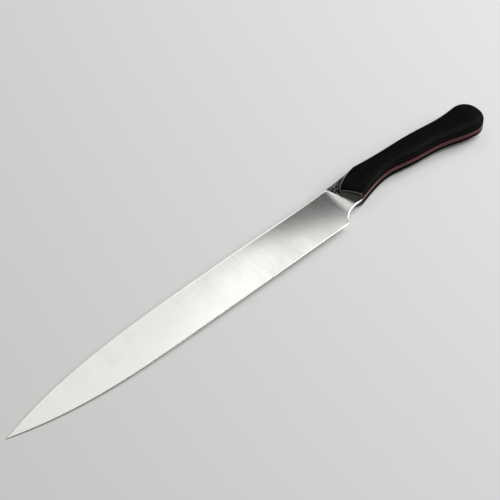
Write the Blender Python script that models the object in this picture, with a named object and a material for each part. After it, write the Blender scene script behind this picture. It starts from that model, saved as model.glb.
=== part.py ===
"""Yanagiba slicing knife with a western handle, lying on its side.

The blade, its neck and the full tang are one forging. Two sculpted bolster halves are soldered over the
neck, and red fibre liners and black scales are bonded to the tang behind them. Blind dowels locate each pair.

The knife is drawn in its own frame. +X runs from the heel to the butt, so the tip is at -X. +Y runs from the
cutting edge to the back. +Z leaves the left face, which is the flat side of the single bevel. One empty then
lays the finished knife on a table, resting on its right scale and its point. Lengths are in metres.
"""

import math

import bmesh
import bpy
import numpy as np

# Blade outline, measured from the heel corner and from the line of the straight edge.
EDGE_LENGTH = 0.300
HEEL_HEIGHT = 0.0341
CREST_HEIGHT = 0.0354
CREST_AHEAD = 0.085
POINT_HEIGHT = 0.0170
POINT_BLUNT = 0.0004
STRAIGHT_EDGE = 0.150
EDGE_SWEEP_POWER = 2.5
BACK_DROP_POWER = 3.3

# Blade sections: a wide bevel on the right face, a shallow hollow on the left.
STEEL = 0.0020
STEEL_AT_POINT = 0.0012
EDGE_THICKNESS = 0.00025
BEVEL_HEIGHT = 0.0115
HOLLOW_DEPTH = 0.0001
HOLLOW_BORDER = 0.0015
HOLLOW_RUN_OUT = 0.060
BEVEL_RUN_OUT = 0.012
HIGHEST_SHOULDER_SHARE = 0.96
LOWEST_SHOULDER_SHARE = 0.04
BORDER_SHARE = 0.2

# The concave choil between the heel corner and the neck.
CHOIL_LENGTH = 0.0182
CHOIL_RISE = 0.0099
CHOIL_POWER = 0.68
NECK = 0.0220

# Handle, from the neck to the butt. Each curve runs through heights at shares of the handle's length.
HANDLE_LENGTH = 0.128
BUTT_ROUND = 0.0145
BACK_SHARES = (0.109, 0.219, 0.328, 0.453, 0.570, 0.672, 0.773, 0.891, 1.000)
BACK_HEIGHTS = (0.0346, 0.0334, 0.0326, 0.0320, 0.0309, 0.0293, 0.0282, 0.0285, 0.0292)
BELLY_SHARES = (0.000, 0.120, 0.220, 0.300, 0.400, 0.500, 0.600, 0.710, 0.800, 0.891, 1.000)
BELLY_HEIGHTS = (0.0099, 0.0141, 0.0163, 0.0163, 0.0139, 0.0119, 0.0105, 0.0074, 0.0038, 0.0013, 0.0006)
THICKNESS_SHARES = (0.00, 0.15, 0.40, 0.60, 0.78, 0.90, 1.00)
HALF_THICKNESSES = (0.0064, 0.0073, 0.0084, 0.0080, 0.0076, 0.0081, 0.0081)
WALL_SHARES = (0.00, 0.10, 0.30, 0.55, 1.00)
WALL_HEIGHTS = (0.0057, 0.0060, 0.0045, 0.0037, 0.0036)
WALL_AT_BUTT = 0.0032
ROUND_POWER = 4.0

# Bolster: the foot on the blade, and the rim against the scale, which comes to a point between its legs.
FOOT_BEHIND_HEEL = 0.0169
FOOT_LEAN_AT_BACK = 0.0080
FOOT_STEP = 0.00035
RIM_AT_BELLY = 0.0231
RIM_AT_APEX = 0.0148
RIM_AT_BACK = 0.0365
APEX_SHARE = 0.57
CREASE_SHARE = 0.03
COVE_RIM_AT_APEX = 0.0046
FACET_RIM_AT_APEX = 0.0029
FACET_RIM_AT_BACK = 0.0062
FACET_SWEEP_POWER = 3.0
COVE_LEAN = 0.45
RIM_LAND = 0.0016
BEAD = 0.0011
BEAD_FRONT = 0.0003
LARGEST_BEAD_SHARE = 0.4
RIM_CURVE_TO_BELLY = 0.55
RIM_CURVE_TO_BACK = 2.0
BULLNOSE = 0.0065
SHEAR_REACH = 0.060

# Liners, dowels and the gaps between bonded faces.
LINER = 0.0004
GLUE_LINE = 0.0001
DOWEL_CLEARANCE = 0.0001
SCALE_DOWEL_RADIUS = 0.0020
SCALE_DOWEL_DEPTH = 0.0030
FRONT_DOWEL_SHARE = 0.20
MIDDLE_DOWEL_SHARE = 0.50
REAR_DOWEL_SHARE = 0.82
BOLSTER_DOWEL_RADIUS = 0.0008
BOLSTER_DOWEL_DEPTH = 0.0010
BOLSTER_DOWEL_AHEAD_OF_RIM = 0.0020
LOWER_DOWEL_SHARE = 0.16
UPPER_DOWEL_SHARE = 0.88

# How finely each form is divided.
BLADE_STATIONS = 44
CHOIL_STATIONS = 10
HANDLE_STATIONS = 30
BUTT_STATIONS = 9
HOLLOW_POINTS = 7
SECTION_POINTS = 19
CREASE_POINTS = 3
COVE_POINTS = 9
DOWEL_SIDES = 24
POINT_SPACING_POWER = 1.5
RIM_SPACING_POWER = 1.25
LAST_BUTT_TURN = 0.47 * math.pi

BUTT = NECK + HANDLE_LENGTH
FACE = STEEL / 2


def smoothstep(value):
    """Rises from 0 to 1 with level ends as value goes from 0 to 1."""
    v = np.clip(value, 0.0, 1.0)
    return v * v * (3 - 2 * v)


def cubic_line(knots, start_slope=None):
    """A smooth curve through the knots, as a function; its start is free, or has the given slope."""
    x, y = np.array(knots, float).T
    h = np.diff(x)
    rows = np.eye(len(x))
    bends = np.zeros(len(x))
    for i in range(1, len(x) - 1):
        rows[i, i - 1 : i + 2] = h[i - 1], 2 * (h[i - 1] + h[i]), h[i]
        bends[i] = 6 * ((y[i + 1] - y[i]) / h[i] - (y[i] - y[i - 1]) / h[i - 1])
    if start_slope is not None:
        rows[0, :2] = 2 * h[0], h[0]
        bends[0] = 6 * ((y[1] - y[0]) / h[0] - start_slope)
    m = np.linalg.solve(rows, bends)

    def at(value):
        v = np.clip(np.asarray(value, float), x[0], x[-1])
        i = np.clip(np.searchsorted(x, v) - 1, 0, len(h) - 1)
        a, b = x[i + 1] - v, v - x[i]
        return (
            (m[i] * a**3 + m[i + 1] * b**3) / (6 * h[i])
            + (y[i] / h[i] - m[i] * h[i] / 6) * a
            + (y[i + 1] / h[i] - m[i + 1] * h[i] / 6) * b
        )

    return at


def along_handle(shares, heights):
    """Knots of a curve, each share of the handle's length turned into a distance behind the heel."""
    return [(NECK + share * HANDLE_LENGTH, height) for share, height in zip(shares, heights)]


blade_back = [(-CREST_AHEAD, CREST_HEIGHT), (0.0, HEEL_HEIGHT)]
back_curve = cubic_line(blade_back + along_handle(BACK_SHARES, BACK_HEIGHTS), 0.0)
belly_curve = cubic_line(along_handle(BELLY_SHARES, BELLY_HEIGHTS))
thickness_curve = cubic_line(along_handle(THICKNESS_SHARES, HALF_THICKNESSES))
wall_curve = cubic_line(along_handle(WALL_SHARES, WALL_HEIGHTS))


def butt_closing(x):
    """1 along the handle, falling to 0 over the butt as the height of an ellipse does."""
    return np.sqrt(np.clip(1 - np.clip((x - BUTT + BUTT_ROUND) / BUTT_ROUND, 0, 1) ** 2, 0, 1))


def back_height(x):
    """Height of the back: it drops towards the point ahead of its crest, and closes round the butt."""
    x = np.asarray(x, float)
    ahead = np.clip((-x - CREST_AHEAD) / (EDGE_LENGTH - CREST_AHEAD), 0, 1)
    blade = CREST_HEIGHT - (CREST_HEIGHT - POINT_HEIGHT) * ahead**BACK_DROP_POWER
    middle = (back_curve(x) + belly_curve(x)) / 2
    return np.where(x < -CREST_AHEAD, blade, middle + (back_curve(x) - middle) * butt_closing(x))


def belly_height(x):
    """Height of the lower outline: the swept edge, the rounded choil, then the belly of the handle."""
    x = np.asarray(x, float)
    ahead = np.clip((-x - STRAIGHT_EDGE) / (EDGE_LENGTH - STRAIGHT_EDGE), 0, 1)
    edge = POINT_HEIGHT * ahead**EDGE_SWEEP_POWER
    choil = CHOIL_RISE * (1 - (1 - np.clip(x / CHOIL_LENGTH, 0, 1)) ** 2) ** CHOIL_POWER
    middle = (back_curve(x) + belly_curve(x)) / 2
    handle = middle + (belly_curve(x) - middle) * butt_closing(x)
    return np.where(x < 0, edge, np.where(x < NECK, choil, handle))


def height_at(x, share):
    """The height a share of the way from the belly to the back."""
    low = belly_height(x)
    return low + (back_height(x) - low) * share


def side_height(x, share):
    """Height of the handle's crowned side above the middle of the tang."""
    off_centre = np.abs(2 * share - 1)
    crown = np.sqrt(np.clip(1 - off_centre**ROUND_POWER, 0, 1))
    full = (thickness_curve(x) - wall_curve(x)) * butt_closing(x)
    wall = WALL_AT_BUTT + (wall_curve(x) - WALL_AT_BUTT) * butt_closing(x)
    return wall + full * crown


def from_apex(share):
    """How far a share lies from the apex: 0 to 1 towards the belly, and 0 to 1 towards the back."""
    to_belly = np.clip((APEX_SHARE - share) / APEX_SHARE, 0, 1)
    to_back = np.clip((share - APEX_SHARE) / (1 - APEX_SHARE), 0, 1)
    return to_belly, to_back


def foot_line(share):
    """Where the bolster starts on the blade: a line that leans forward towards the back."""
    return FOOT_BEHIND_HEEL - FOOT_LEAN_AT_BACK * share


def rim_line(share):
    """Where the bolster meets the scale: two legs that run back from the apex."""
    to_belly, to_back = from_apex(share)
    return (
        RIM_AT_APEX
        + (RIM_AT_BELLY - RIM_AT_APEX) * to_belly**RIM_CURVE_TO_BELLY
        + (RIM_AT_BACK - RIM_AT_APEX) * to_back**RIM_CURVE_TO_BACK
    )


def on_facet(share):
    """0 on the cove and 1 on the facet, changing over the narrow crease beside the apex."""
    return smoothstep((share - APEX_SHARE) / CREASE_SHARE)


def rim_height(share):
    """Height of the bolster's rim, which falls from the belly to the apex and climbs to the back."""
    to_belly, to_back = from_apex(share)
    x = rim_line(share)
    cove = COVE_RIM_AT_APEX + (thickness_curve(x) - COVE_RIM_AT_APEX) * smoothstep(to_belly)
    facet = FACET_RIM_AT_APEX + (FACET_RIM_AT_BACK - FACET_RIM_AT_APEX) * to_back
    return np.minimum(side_height(x, share), cove + (facet - cove) * on_facet(share))


def bolster_height(x, share):
    """A hollow cove under the bead along the rim below the crease, and a swept facet above it."""
    foot, rim = foot_line(share), rim_line(share)
    start = FACE + FOOT_STEP
    full = rim_height(share) - start
    bead = np.minimum(BEAD, LARGEST_BEAD_SHARE * full)
    run = np.clip((x - foot) / (rim - RIM_LAND - foot), 0, 1)
    front = np.clip((x - rim + RIM_LAND) / BEAD_FRONT, 0, 1)
    cove = (full - bead) * (COVE_LEAN * run + (1 - COVE_LEAN) * run**2) + bead * front
    sweep = full * np.clip((x - foot) / (rim - foot), 0, 1) ** FACET_SWEEP_POWER
    return start + cove + (sweep - cove) * on_facet(share)


def scale_height(x, share):
    """The handle's side, with a bullnose that starts at the rim's own height."""
    rim = rim_line(share)
    lowered = side_height(rim, share) - rim_height(share)
    run = np.clip((x - rim) / BULLNOSE, 0, 1)
    return side_height(x, share) - lowered * (1 - np.sqrt(1 - (1 - run) ** 2))


def material(name, colour, roughness, metallic):
    """A Principled material of one colour."""
    made = bpy.data.materials.new(name)
    made.use_nodes = True
    shader = made.node_tree.nodes["Principled BSDF"]
    shader.inputs["Base Color"].default_value = (*colour, 1.0)
    shader.inputs["Roughness"].default_value = roughness
    shader.inputs["Metallic"].default_value = metallic
    return made


def object_from(bm, name, finish):
    """A named object from a bmesh, shaded smooth but for its sharp edges."""
    bmesh.ops.recalc_face_normals(bm, faces=bm.faces)
    mesh = bpy.data.meshes.new(name)
    bm.to_mesh(mesh)
    bm.free()
    mesh.shade_smooth()
    mesh.set_sharp_from_angle(angle=math.radians(28))
    mesh.materials.append(finish)
    made = bpy.data.objects.new(name, mesh)
    bpy.context.scene.collection.objects.link(made)
    return made


def blade_section(x):
    """One section across the blade or tang, as (y, z) points that go round from the edge's left corner."""
    low, high = float(belly_height(x)), float(back_height(x))
    height = high - low
    taper = STEEL + (STEEL_AT_POINT - STEEL) * max(-x, 0.0) / EDGE_LENGTH
    thin = taper * min(1.0, height / BEVEL_HEIGHT) if x < 0 else STEEL
    most = HIGHEST_SHOULDER_SHARE * height
    shoulder = low + min(BEVEL_HEIGHT, most) if x < 0 else min(BEVEL_HEIGHT, low + most)
    shoulder = max(shoulder, low + LOWEST_SHOULDER_SHARE * height)
    run_out = float(smoothstep((x - FOOT_BEHIND_HEEL + BEVEL_RUN_OUT) / BEVEL_RUN_OUT))
    above_edge = max(low, 0.0) / BEVEL_HEIGHT if x > 0 else 0.0
    share = max(min(above_edge, 1.0), run_out, EDGE_THICKNESS / STEEL)
    corner = max(thin * share, min(EDGE_THICKNESS, thin))
    border = min(HOLLOW_BORDER, BORDER_SHARE * height)
    fade = float(smoothstep((-x) / HOLLOW_RUN_OUT)) * min(1.0, height / HEEL_HEIGHT) ** 2
    points = [(low, FACE), (low, FACE - corner), (shoulder, FACE - thin), (high, FACE - thin), (high, FACE)]
    for k in range(HOLLOW_POINTS + 2):
        across = k / (HOLLOW_POINTS + 1)
        dip = HOLLOW_DEPTH * fade * (1 - (2 * across - 1) ** 2)
        points.append((high - border - across * (height - 2 * border), FACE - dip))
    return points


def butt_stations():
    """Positions round the butt, up to the last section that still has some height."""
    return BUTT - BUTT_ROUND + BUTT_ROUND * np.sin(np.linspace(0, LAST_BUTT_TURN, BUTT_STATIONS)[1:])


def blade_stations():
    """Positions of the sections: closer near the point, round the choil and round the butt."""
    reach = EDGE_LENGTH - POINT_BLUNT
    blade = -reach * (1 - (1 - np.linspace(0, 1, BLADE_STATIONS)) ** POINT_SPACING_POWER)[::-1]
    turn = np.linspace(0, math.pi / 2, CHOIL_STATIONS + 1)[1:]
    choil = CHOIL_LENGTH * (1 - np.cos(turn))
    handle = np.linspace(NECK, BUTT - BUTT_ROUND, HANDLE_STATIONS)
    return np.concatenate([blade, choil, handle, butt_stations()])


def make_blade(finish):
    """Blade, neck and full tang, bridged from section to section and closed at both ends."""
    bm = bmesh.new()
    loops = []
    for x in blade_stations():
        loops.append([bm.verts.new((x, y, z)) for y, z in blade_section(float(x))])
    count = len(loops[0])
    for first, second in zip(loops, loops[1:]):
        for k in range(count):
            after = (k + 1) % count
            bm.faces.new((first[k], first[after], second[after], second[k]))
    bm.faces.new(loops[0])
    bm.faces.new(loops[-1])
    blade = object_from(bm, "blade", finish)
    for x, y in scale_dowel_places().values():
        drill(blade, x, y, SCALE_DOWEL_RADIUS, -STEEL, STEEL)
    for x, y in bolster_dowel_places().values():
        drill(blade, x, y, BOLSTER_DOWEL_RADIUS, -STEEL, STEEL)
    return blade


def drill(target, x, y, radius, low, high):
    """Cuts a dowel hole, with its clearance, through target from low to high."""
    bm = bmesh.new()
    bmesh.ops.create_cone(
        bm,
        cap_ends=True,
        segments=DOWEL_SIDES,
        radius1=radius + DOWEL_CLEARANCE,
        radius2=radius + DOWEL_CLEARANCE,
        depth=high - low,
    )
    cutter = object_from(bm, f"cutter_{target.name}_{x:.3f}_{y:.3f}", target.data.materials[0])
    cutter.location = (x, y, (low + high) / 2)
    cutter.hide_render = True
    cutter.display_type = "WIRE"
    cut = target.modifiers.new("drill", "BOOLEAN")
    cut.operation = "DIFFERENCE"
    cut.solver = "EXACT"
    cut.object = cutter


def plate_between(name, finish, grid_x, shares, base, top, side):
    """A closed solid under a sculpted top. grid_x holds one row of positions for each station, base is its
    flat inner face and top gives the height at a position and share. side is 1 for left, -1 for right."""
    bm = bmesh.new()
    rows, lower = [], []
    for stations in grid_x:
        ys = height_at(stations, shares)
        zs = top(stations, shares)
        rows.append([bm.verts.new((x, y, side * z)) for x, y, z in zip(stations, ys, zs)])
        lower.append([(x, y) for x, y in zip(stations, ys)])
    for first, second in zip(rows, rows[1:]):
        for k in range(len(shares) - 1):
            bm.faces.new((first[k], first[k + 1], second[k + 1], second[k]))
    last, end = len(rows) - 1, len(shares) - 1
    border = [(0, k) for k in range(end)] + [(j, end) for j in range(last)]
    border += [(last, k) for k in range(end, 0, -1)] + [(j, 0) for j in range(last, 0, -1)]
    floor = [bm.verts.new((*lower[j][k], side * base)) for j, k in border]
    for n, (j, k) in enumerate(border):
        after = (n + 1) % len(border)
        j2, k2 = border[after]
        bm.faces.new((rows[j][k], rows[j2][k2], floor[after], floor[n]))
    bm.faces.new(floor)
    return object_from(bm, name, finish)


def section_shares(count):
    """Shares from belly to back, closer at the rounded edges and at the crease."""
    shares = (1 - np.cos(np.linspace(0, math.pi, count))) / 2
    crease = APEX_SHARE + CREASE_SHARE * np.linspace(0, 1, CREASE_POINTS)
    clear = (shares < crease[0] - CREASE_SHARE) | (shares > crease[-1] + CREASE_SHARE)
    return np.sort(np.concatenate([shares[clear], crease]))


def handle_grid(shares):
    """Rows of positions from the rim to the butt: the first follows the rim, the later ones straighten."""
    straight = BUTT - BUTT_ROUND
    middle = RIM_AT_APEX + (straight - RIM_AT_APEX) * np.linspace(0, 1, HANDLE_STATIONS) ** RIM_SPACING_POWER
    rim = rim_line(shares) + GLUE_LINE
    rows = []
    for x in np.concatenate([middle, butt_stations()]):
        fade = max(0.0, 1 - (x - RIM_AT_APEX) / SHEAR_REACH) ** 2
        rows.append(x + (rim - RIM_AT_APEX) * fade)
    return rows


def bolster_grid(shares):
    """Rows of positions from the foot to the rim: along the cove, then up the bead and over it."""
    foot, rim = foot_line(shares), rim_line(shares)
    wall = rim - RIM_LAND
    rows = [foot + (wall - foot) * run for run in np.linspace(0, 1, COVE_POINTS)]
    return [*rows, wall + BEAD_FRONT, rim]


def make_bolster(name, finish, side):
    """One bolster half, drilled on its inner face for the dowels."""
    shares = section_shares(SECTION_POINTS)
    base = FACE + GLUE_LINE
    bolster = plate_between(name, finish, bolster_grid(shares), shares, base, bolster_height, side)
    for x, y in bolster_dowel_places().values():
        drill_blind(bolster, x, y, BOLSTER_DOWEL_RADIUS, base, FACE + BOLSTER_DOWEL_DEPTH, side)
    return bolster


def make_scale(name, finish, side):
    """One scale, drilled on its inner face for the dowels."""
    shares = section_shares(SECTION_POINTS)
    base = FACE + LINER + 2 * GLUE_LINE
    scale = plate_between(name, finish, handle_grid(shares), shares, base, scale_height, side)
    for x, y in scale_dowel_places().values():
        drill_blind(scale, x, y, SCALE_DOWEL_RADIUS, base, base + SCALE_DOWEL_DEPTH, side)
    return scale


def make_liner(name, finish, side):
    """One fibre liner, the scale's outline in sheet, with through holes for the dowels."""
    shares = section_shares(SECTION_POINTS)
    base = FACE + GLUE_LINE

    def level(x, _share):
        return np.full_like(x, base + LINER)

    liner = plate_between(name, finish, handle_grid(shares), shares, base, level, side)
    low, high = sorted((side * (base - LINER), side * (base + 2 * LINER)))
    for x, y in scale_dowel_places().values():
        drill(liner, x, y, SCALE_DOWEL_RADIUS, low, high)
    return liner


def drill_blind(target, x, y, radius, base, bottom, side):
    """Cuts a blind dowel hole from the inner face at base to its bottom."""
    mouth = base - DOWEL_CLEARANCE - GLUE_LINE
    low, high = sorted((side * mouth, side * (bottom + DOWEL_CLEARANCE)))
    drill(target, x, y, radius, low, high)


def scale_dowel_places():
    """Centre of each scale dowel, on the middle line of the handle."""
    shares = {"front": FRONT_DOWEL_SHARE, "middle": MIDDLE_DOWEL_SHARE, "rear": REAR_DOWEL_SHARE}
    places = {}
    for name, share in shares.items():
        x = NECK + share * HANDLE_LENGTH
        places[name] = (x, float(height_at(x, 0.5)))
    return places


def bolster_dowel_places():
    """Centre of each bolster dowel, under the thick metal ahead of the rim."""
    places = {}
    for name, share in (("lower", LOWER_DOWEL_SHARE), ("upper", UPPER_DOWEL_SHARE)):
        x = float(rim_line(share)) - BOLSTER_DOWEL_AHEAD_OF_RIM
        places[name] = (x, float(height_at(x, share)))
    return places


def make_dowel(name, finish, place, radius, half_length):
    """A steel dowel across the tang, its origin on its own axis."""
    bm = bmesh.new()
    bmesh.ops.create_cone(
        bm, cap_ends=True, segments=DOWEL_SIDES, radius1=radius, radius2=radius, depth=2 * half_length
    )
    dowel = object_from(bm, name, finish)
    dowel.location = (*place, 0.0)
    return dowel


def resting_slope(points):
    """Slope of the line that the knife stands on, seen from the edge: the hull's side under the heel."""
    flat = points[np.lexsort((points[:, 2], points[:, 0]))][:, (0, 2)]
    hull = []
    for p in flat:
        while len(hull) > 1 and np.linalg.det([hull[-1] - hull[-2], p - hull[-2]]) <= 0:
            hull.pop()
        hull.append(p)
    for a, b in zip(hull, hull[1:]):
        if a[0] <= 0 <= b[0]:
            return (b[1] - a[1]) / (b[0] - a[0])
    return 0.0


def lay_on_table(pieces):
    """Parents every piece to one empty that tips the knife onto its point, its box centred at the origin."""
    rest = bpy.data.objects.new("knife_at_rest", None)
    bpy.context.scene.collection.objects.link(rest)
    points = []
    for piece in pieces:
        co = np.empty(len(piece.data.vertices) * 3, np.float32)
        piece.data.vertices.foreach_get("co", co)
        points.append(co.reshape(-1, 3).astype(float) + np.array(piece.location))
        piece.parent = rest
    for obj in bpy.data.objects:
        if obj.type == "MESH" and obj.parent is None:
            obj.parent = rest
    points = np.concatenate(points)
    tip = math.atan(resting_slope(points))
    c, s = math.cos(tip), math.sin(tip)
    turned = points @ np.array([[c, 0, -s], [0, 1, 0], [s, 0, c]])
    low, high = turned.min(axis=0), turned.max(axis=0)
    rest.rotation_euler = (0.0, tip, 0.0)
    rest.location = (-(low[0] + high[0]) / 2, -(low[1] + high[1]) / 2, -low[2])


def main():
    """Clears the scene, makes each piece and lays the knife on the table."""
    for obj in list(bpy.data.objects):
        bpy.data.objects.remove(obj, do_unlink=True)
    blade_steel = material("blade_steel", (0.78, 0.78, 0.76), 0.26, 1.0)
    bolster_steel = material("bolster_steel", (0.45, 0.45, 0.43), 0.32, 1.0)
    fibre = material("red_fibre", (0.42, 0.03, 0.05), 0.6, 0.0)
    black = material("black_laminate", (0.018, 0.018, 0.017), 0.38, 0.0)
    dowel_steel = material("dowel_steel", (0.6, 0.6, 0.6), 0.35, 1.0)

    pieces = [make_blade(blade_steel)]
    for hand, side in (("left", 1), ("right", -1)):
        pieces.append(make_bolster(f"{hand}_bolster", bolster_steel, side))
        pieces.append(make_liner(f"{hand}_liner", fibre, side))
        pieces.append(make_scale(f"{hand}_scale", black, side))
    half = FACE + LINER + 2 * GLUE_LINE + SCALE_DOWEL_DEPTH
    for name, place in scale_dowel_places().items():
        pieces.append(make_dowel(f"scale_dowel_{name}", dowel_steel, place, SCALE_DOWEL_RADIUS, half))
    half = FACE + BOLSTER_DOWEL_DEPTH
    for name, place in bolster_dowel_places().items():
        pieces.append(make_dowel(f"bolster_dowel_{name}", dowel_steel, place, BOLSTER_DOWEL_RADIUS, half))
    lay_on_table(pieces)


main()
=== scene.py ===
"""Looks of a yanagiba slicing knife with a western handle, lying on its right side on a pale floor.

The knife is drawn in its own frame: +X runs from the heel to the butt, +Y from the cutting edge to the back and
+Z out of the left face, which lies upwards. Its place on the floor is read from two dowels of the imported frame.
Lengths are in metres.
"""

import logging
import math
from dataclasses import dataclass, field
from enum import Enum

import bpy
import numpy as np
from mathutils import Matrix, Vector


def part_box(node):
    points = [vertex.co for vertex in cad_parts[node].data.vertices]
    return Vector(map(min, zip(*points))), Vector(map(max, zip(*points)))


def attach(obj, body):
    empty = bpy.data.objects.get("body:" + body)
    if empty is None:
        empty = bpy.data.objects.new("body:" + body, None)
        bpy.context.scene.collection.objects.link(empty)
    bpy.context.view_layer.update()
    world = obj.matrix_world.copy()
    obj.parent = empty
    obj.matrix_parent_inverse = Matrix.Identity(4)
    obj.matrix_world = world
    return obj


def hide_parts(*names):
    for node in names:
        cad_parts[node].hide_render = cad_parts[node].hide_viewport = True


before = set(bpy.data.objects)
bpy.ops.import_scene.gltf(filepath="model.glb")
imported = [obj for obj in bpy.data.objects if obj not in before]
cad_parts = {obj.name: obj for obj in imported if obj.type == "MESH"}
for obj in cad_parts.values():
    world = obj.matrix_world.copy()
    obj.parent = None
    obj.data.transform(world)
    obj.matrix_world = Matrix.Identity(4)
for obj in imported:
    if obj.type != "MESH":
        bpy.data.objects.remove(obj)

LOG = logging.getLogger("knife")
FINE_STEPS = 4001  # even steps over which a weight is summed up

Colour = tuple[float, float, float]
Place = tuple[float, float, float]


class Side(Enum):
    """The two faces of the knife, by the sign of their Z."""

    LEFT = 1
    RIGHT = -1


class Slot(Enum):
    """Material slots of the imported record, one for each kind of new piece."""

    BLADE = "blade_steel"
    BOLSTER = "bolster_steel"
    FIBRE = "red_fibre"
    LAMINATE = "black_laminate"


# ---------------------------------------------------------------- curves


def smoothstep(value: np.ndarray | float) -> np.ndarray:
    """Rises from 0 to 1 with level ends: 3v squared less 2v cubed.

    Args:
        value: how far along, where 0 and 1 are the ends.

    Returns:
        The eased value, held at 0 and 1 beyond the ends.
    """
    v = np.clip(value, 0.0, 1.0)
    return v * v * (3 - 2 * v)


def bell(offset: np.ndarray) -> np.ndarray:
    """A bell curve of height 1: e to the power of minus the offset squared."""
    return np.exp(-(offset**2))


def crowded(even: np.ndarray, weight: np.ndarray, count: int) -> np.ndarray:
    """Places that lie the closer, the larger a weight is: equal steps of the weight's running sum.

    Args:
        even: evenly spaced places.
        weight: the weight at each of them.
        count: how many places are wanted.

    Returns:
        The places, with the first and last of the even ones at the ends.
    """
    total = np.concatenate([[0], np.cumsum((weight[1:] + weight[:-1]) / 2)])
    return np.interp(np.linspace(0, 1, count), total / total[-1], even)


class Curve:
    """A cubic spline through knots: between two knots the bend runs straight from one knot's to the next."""

    def __init__(self, shares: tuple[float, ...], heights: tuple[float, ...], level_start: bool = False) -> None:
        """Solves the bends at the knots, free at the ends or with a level start.

        Args:
            shares: places of the knots.
            heights: heights at the knots.
            level_start: whether the curve leaves its first knot level.
        """
        self.x, self.y = np.array(shares, float), np.array(heights, float)
        self.step = np.diff(self.x)
        rows, bends = np.eye(len(self.x)), np.zeros(len(self.x))
        slopes = np.diff(self.y) / self.step
        for i in range(1, len(self.x) - 1):
            rows[i, i - 1 : i + 2] = self.step[i - 1], 2 * (self.step[i - 1] + self.step[i]), self.step[i]
            bends[i] = 6 * (slopes[i] - slopes[i - 1])
        if level_start:
            rows[0, :2] = 2 * self.step[0], self.step[0]
            bends[0] = 6 * slopes[0]
        self.bend = np.linalg.solve(rows, bends)

    def __call__(self, place: np.ndarray | float) -> np.ndarray:
        """Height of the curve.

        Args:
            place: where along the knots, held at the outer ones.

        Returns:
            The height at each place.
        """
        v = np.clip(np.asarray(place, float), self.x[0], self.x[-1])
        i = np.clip(np.searchsorted(self.x, v) - 1, 0, len(self.step) - 1)
        a, b, h = self.x[i + 1] - v, v - self.x[i], self.step[i]
        bent = (self.bend[i] * a**3 + self.bend[i + 1] * b**3) / (6 * h)
        return bent + (self.y[i] / h - self.bend[i] * h / 6) * a + (self.y[i + 1] / h - self.bend[i + 1] * h / 6) * b


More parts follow.
